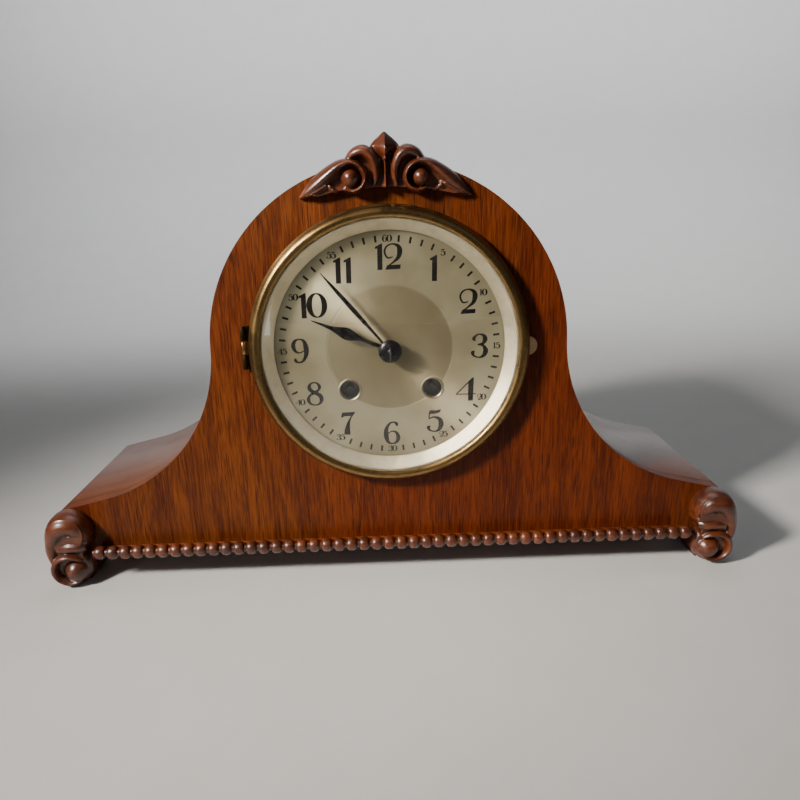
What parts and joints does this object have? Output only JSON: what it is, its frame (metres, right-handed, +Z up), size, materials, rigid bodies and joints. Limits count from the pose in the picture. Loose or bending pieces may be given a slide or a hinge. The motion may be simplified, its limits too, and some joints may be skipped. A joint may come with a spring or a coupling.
{
  "type": "mantel clock",
  "caption": "Striking mantel clock in a tambour case with hinged bezel, silvered dial, spring-driven movement, pendulum, gong rod and rear door.",
  "frame": {"origin": "middle of the clock's bounding box on the shelf it stands on", "axes": "+X to the right of the dial as read, +Z up, the dial faces -Y"},
  "size_m": [0.451, 0.1432, 0.272],
  "materials": {
    "oak_front": "stained oak veneer, worn shellac",
    "oak_veneer": "stained oak veneer, glossy",
    "carved_oak": "dark stained carved oak, glossy",
    "plain_wood": "unpolished wood",
    "case_brass": "aged brass",
    "bright_ring": "bright turned brass",
    "silvered": "silvered, spun, toned",
    "clear_glass": "polished",
    "black_hands": "black",
    "plate_brass": "brushed",
    "steel": "grained",
    "gong_iron": "black"
  },
  "bodies": {
    "case": {"front_panel": "oak_front", "case_skin": "oak_veneer", "back_board": "plain_wood", "base_board": "plain_wood", "bead_moulding": "carved_oak", "crest_carving": "carved_oak", "scroll_foot_left": "carved_oak", "scroll_foot_right": "carved_oak", "rear_foot_left": "plain_wood", "rear_foot_right": "plain_wood", "door_hinge_frame_leaf": "case_brass", "door_hinge_pin": "case_brass", "bezel_hinge_plate": "case_brass", "bezel_hinge_pin": "case_brass", "dial_pan": "case_brass", "dial_plate": "silvered", "eyelet_left": "case_brass", "eyelet_right": "case_brass", "front_plate": "plate_brass", "back_plate": "plate_brass", "pillar_1": "plate_brass", "pillar_2": "plate_brass", "pillar_3": "plate_brass", "pillar_4": "plate_brass", "movement_bracket_left": "steel", "movement_bracket_right": "steel", "suspension_cock": "plate_brass", "gong_block": "gong_iron", "gong_rod": "steel"},
    "door": {"back_door": "plain_wood", "door_hinge_door_leaf": "case_brass"},
    "button": {"door_button": "case_brass"},
    "bezel_frame": {"bezel": "case_brass", "glass": "clear_glass", "sight_ring": "bright_ring", "finger_tab": "case_brass", "bezel_hinge_leaf": "case_brass"},
    "minute_arbor": {"cannon_pinion": "plate_brass", "minute_hand": "black_hands", "hand_nut": "black_hands"},
    "hour_pipe": {"hour_wheel": "plate_brass", "hour_hand": "black_hands"},
    "minute_wheel": {"minute_wheel": "plate_brass"},
    "time_winding": {"time_winding_arbor": "steel"},
    "strike_winding": {"strike_winding_arbor": "steel"},
    "time_click": {"time_click": "steel"},
    "strike_click": {"strike_click": "steel"},
    "time_barrel": {"time_barrel": "plate_brass"},
    "second_wheel": {"second_wheel": "plate_brass"},
    "centre_wheel": {"centre_wheel": "plate_brass"},
    "third_wheel": {"third_wheel": "plate_brass"},
    "escape_wheel": {"escape_wheel": "plate_brass"},
    "strike_barrel": {"strike_barrel": "plate_brass"},
    "pin_wheel": {"pin_wheel": "plate_brass"},
    "anchor": {"anchor": "steel"},
    "pendulum": {"pendulum_rod": "steel", "pendulum_bob": "plate_brass"},
    "rating_nut": {"rating_nut": "plate_brass"},
    "hammer": {"hammer": "steel"}
  },
  "joints": [
    {"name": "bezel_hinge", "type": "hinge", "parent": "case", "child": "bezel_frame", "pos_m": [-0.0872, -0.0557, 0.15], "axis": [0, 0, -1], "range_deg": [0, 110]},
    {"name": "back_door_hinge", "type": "hinge", "parent": "case", "child": "door", "pos_m": [0.075, 0.07, 0.1075], "axis": [0, 0, -1], "range_deg": [0, 110]},
    {"name": "door_button_turn", "type": "hinge", "parent": "case", "child": "button", "pos_m": [-0.077, 0.0699, 0.14], "axis": [0, 1, 0], "range_deg": [0, 90]},
    {"name": "minute_spin", "type": "hinge", "parent": "case", "child": "minute_arbor", "pos_m": [0, -0.0529, 0.15], "axis": [0, 1, 0], "continuous": true},
    {"name": "hour_spin", "type": "hinge", "parent": "case", "child": "hour_pipe", "pos_m": [0, -0.0489, 0.15], "axis": [0, 1, 0], "continuous": true},
    {"name": "minute_wheel_spin", "type": "hinge", "parent": "case", "child": "minute_wheel", "pos_m": [0, -0.0449, 0.161], "axis": [0, 1, 0], "continuous": true},
    {"name": "escape_spin", "type": "hinge", "parent": "case", "child": "escape_wheel", "pos_m": [0, -0.0194, 0.18377], "axis": [0, 1, 0], "continuous": true},
    {"name": "third_spin", "type": "hinge", "parent": "case", "child": "third_wheel", "pos_m": [-0.00975, -0.0263, 0.16689], "axis": [0, 1, 0], "continuous": true},
    {"name": "centre_spin", "type": "hinge", "parent": "case", "child": "centre_wheel", "pos_m": [0, -0.0318, 0.15], "axis": [0, 1, 0], "continuous": true},
    {"name": "second_spin", "type": "hinge", "parent": "case", "child": "second_wheel", "pos_m": [0.02312, -0.0358, 0.1515], "axis": [0, 1, 0], "continuous": true},
    {"name": "time_barrel_spin", "type": "hinge", "parent": "case", "child": "time_barrel", "pos_m": [0.0255, -0.0179, 0.1243], "axis": [0, 1, 0], "continuous": true},
    {"name": "strike_barrel_spin", "type": "hinge", "parent": "case", "child": "strike_barrel", "pos_m": [-0.0255, -0.0179, 0.1243], "axis": [0, 1, 0], "continuous": true},
    {"name": "pin_wheel_spin", "type": "hinge", "parent": "case", "child": "pin_wheel", "pos_m": [-0.02781, -0.0353, 0.15072], "axis": [0, 1, 0], "continuous": true},
    {"name": "time_winding_spin", "type": "hinge", "parent": "case", "child": "time_winding", "pos_m": [0.0255, -0.0429, 0.1243], "axis": [0, 1, 0], "continuous": true},
    {"name": "strike_winding_spin", "type": "hinge", "parent": "case", "child": "strike_winding", "pos_m": [-0.0255, -0.0429, 0.1243], "axis": [0, 1, 0], "continuous": true},
    {"name": "time_click_lift", "type": "hinge", "parent": "case", "child": "time_click", "pos_m": [0.013, -0.0425, 0.1301], "axis": [0, 1, 0], "range_deg": [0, 15], "stiffness_Nm_per_rad": 0.002},
    {"name": "strike_click_lift", "type": "hinge", "parent": "case", "child": "strike_click", "pos_m": [-0.038, -0.0425, 0.1301], "axis": [0, 1, 0], "range_deg": [0, 15], "stiffness_Nm_per_rad": 0.002},
    {"name": "pendulum_swing", "type": "hinge", "parent": "case", "child": "pendulum", "pos_m": [0, 0.0111, 0.19698], "axis": [0, 1, 0], "range_deg": [-4, 4]},
    {"name": "anchor_rock", "type": "hinge", "parent": "case", "child": "anchor", "pos_m": [0, -0.0194, 0.19698], "axis": [0, 1, 0], "range_deg": [-4, 4]},
    {"name": "rating_nut_turn", "type": "hinge", "parent": "pendulum", "child": "rating_nut", "pos_m": [0, 0.0111, 0.06107], "axis": [0, 0, 1], "continuous": true},
    {"name": "hammer_lift", "type": "hinge", "parent": "case", "child": "hammer", "pos_m": [0.04, -0.0029, 0.1035], "axis": [0, -1, 0], "range_deg": [0, 20], "stiffness_Nm_per_rad": 0.01}
  ],
  "couplings": [
    {"joint": "hour_spin", "follows": "minute_spin", "ratio": 0.083333},
    {"joint": "minute_wheel_spin", "follows": "minute_spin", "ratio": -0.33333},
    {"joint": "third_spin", "follows": "escape_spin", "ratio": -0.083333},
    {"joint": "centre_spin", "follows": "escape_spin", "ratio": 0.0069444},
    {"joint": "second_spin", "follows": "escape_spin", "ratio": -0.0011574},
    {"joint": "time_barrel_spin", "follows": "escape_spin", "ratio": 0.0001929},
    {"joint": "pin_wheel_spin", "follows": "strike_barrel_spin", "ratio": -7.5},
    {"joint": "anchor_rock", "follows": "pendulum_swing", "ratio": 1}
  ]
}
